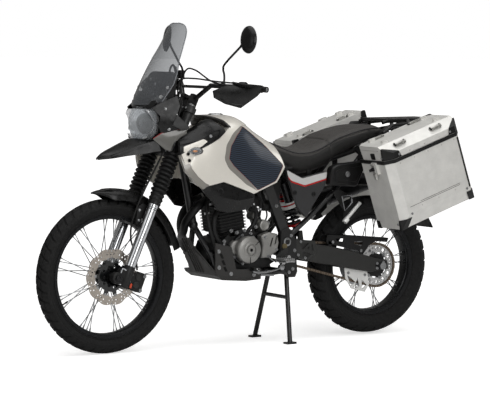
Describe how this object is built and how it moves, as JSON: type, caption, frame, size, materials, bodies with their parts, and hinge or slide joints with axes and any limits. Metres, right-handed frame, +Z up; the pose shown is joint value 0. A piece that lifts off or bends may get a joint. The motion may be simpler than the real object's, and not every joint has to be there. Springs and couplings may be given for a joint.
{
  "type": "adventure motorcycle",
  "caption": "Adventure motorcycle on its centre stand, with spoked wheels, steering fork, tall screen and hinged aluminium side cases.",
  "frame": {"origin": "on the ground, below the middle of the bounding box", "axes": "+X forwards, towards the front wheel; +Y to the rider's left; +Z up"},
  "size_m": [2.125, 0.964, 1.472],
  "materials": {
    "frame_black": "gloss black powder coat",
    "frame_grey": "satin grey-black paint",
    "engine_black": "satin black paint",
    "engine_grey": "blasted grey-silver casting",
    "pipe_black": "satin heat-proof black",
    "skid_grey": "satin dark grey",
    "tank_silver": "warm silver metallic",
    "knee_pad": "fine weave, matt",
    "black_plastic": "satin grained black",
    "shroud_black": "satin black",
    "seat_vinyl": "matt grained vinyl",
    "cover_grey": "satin dark grey",
    "screen_smoke": "smoked, see-through",
    "lamp_glass": "clear",
    "red_lens": "clear red",
    "arm_grey": "satin dark grey",
    "shock_steel": "gloss",
    "steel": "brushed",
    "chain_steel": "oiled brown-grey",
    "peg_steel": "brushed, serrated",
    "case_aluminium": "brushed, clear anodised",
    "tyre_rubber": "matt",
    "rim_black": "satin black",
    "hub_black": "satin black",
    "slider_silver": "polished",
    "rubber_black": "matt",
    "mirror_black": "glass in a black shell"
  },
  "bodies": {
    "chassis": {"frame": "frame_black", "crankcase": "engine_black", "engine_top": "engine_black", "engine_covers": "engine_grey", "intake": "engine_black", "exhaust_pipes": "pipe_black", "muffler": "pipe_black", "skid_plate": "skid_grey", "fuel_tank": "tank_silver", "knee_pads": "knee_pad", "side_ducts": "black_plastic", "lower_shrouds": "shroud_black", "seat": "seat_vinyl", "side_panels": "cover_grey", "rear_covers": "black_plastic", "fairing": "black_plastic", "beak": "black_plastic", "headlight": "lamp_glass", "windshield": "screen_smoke", "instrument_panel": "black_plastic", "front_indicators": "lamp_glass", "swingarm": "arm_grey", "shock_absorber": "shock_steel", "rear_axle": "steel", "chain": "chain_steel", "chain_guard": "black_plastic", "foot_pegs": "peg_steel", "rear_fender": "black_plastic", "tail_lights": "red_lens", "luggage_rack": "frame_black", "case_rails": "frame_black", "left_case": "case_aluminium", "right_case": "case_aluminium"},
    "steering": {"fork_clamps": "frame_grey", "fork_sliders": "slider_silver", "fork_gaiters": "rubber_black", "front_axle": "steel", "front_fender": "black_plastic", "front_caliper": "engine_black", "front_brake_hose": "rubber_black", "handlebar": "frame_black", "hand_controls": "rubber_black", "hand_guards": "black_plastic", "mirrors": "mirror_black"},
    "front_wheel": {"front_tyre": "tyre_rubber", "front_rim": "rim_black", "front_hub": "hub_black", "front_brake_disc": "steel"},
    "rear_wheel": {"rear_tyre": "tyre_rubber", "rear_rim": "rim_black", "rear_hub": "hub_black", "rear_sprocket": "steel", "rear_brake_disc": "steel"},
    "centre_stand": {"centre_stand": "frame_black"},
    "left_lid": {"left_case_lid": "case_aluminium"},
    "right_lid": {"right_case_lid": "case_aluminium"}
  },
  "joints": [
    {"name": "steering", "type": "hinge", "parent": "chassis", "child": "steering", "pos_m": [0.641, 0, 0.3146], "axis": [-0.4067, 0, 0.9135], "range_deg": [-35, 35]},
    {"name": "front_wheel_spin", "type": "hinge", "parent": "steering", "child": "front_wheel", "pos_m": [0.715, 0, 0.3475], "axis": [0, 1, 0], "continuous": true},
    {"name": "rear_wheel_spin", "type": "hinge", "parent": "chassis", "child": "rear_wheel", "pos_m": [-0.715, 0, 0.334], "axis": [0, 1, 0], "continuous": true},
    {"name": "centre_stand_fold", "type": "hinge", "parent": "chassis", "child": "centre_stand", "pos_m": [-0.205, 0, 0.326], "axis": [0, 1, 0], "range_deg": [0, 78]},
    {"name": "left_lid_hinge", "type": "hinge", "parent": "chassis", "child": "left_lid", "pos_m": [-0.4901, 0.256, 0.8516], "axis": [0.9483, 0, -0.3173], "range_deg": [0, 78]},
    {"name": "right_lid_hinge", "type": "hinge", "parent": "chassis", "child": "right_lid", "pos_m": [-0.4901, -0.256, 0.8516], "axis": [-0.9483, 0, 0.3173], "range_deg": [0, 78]}
  ]
}
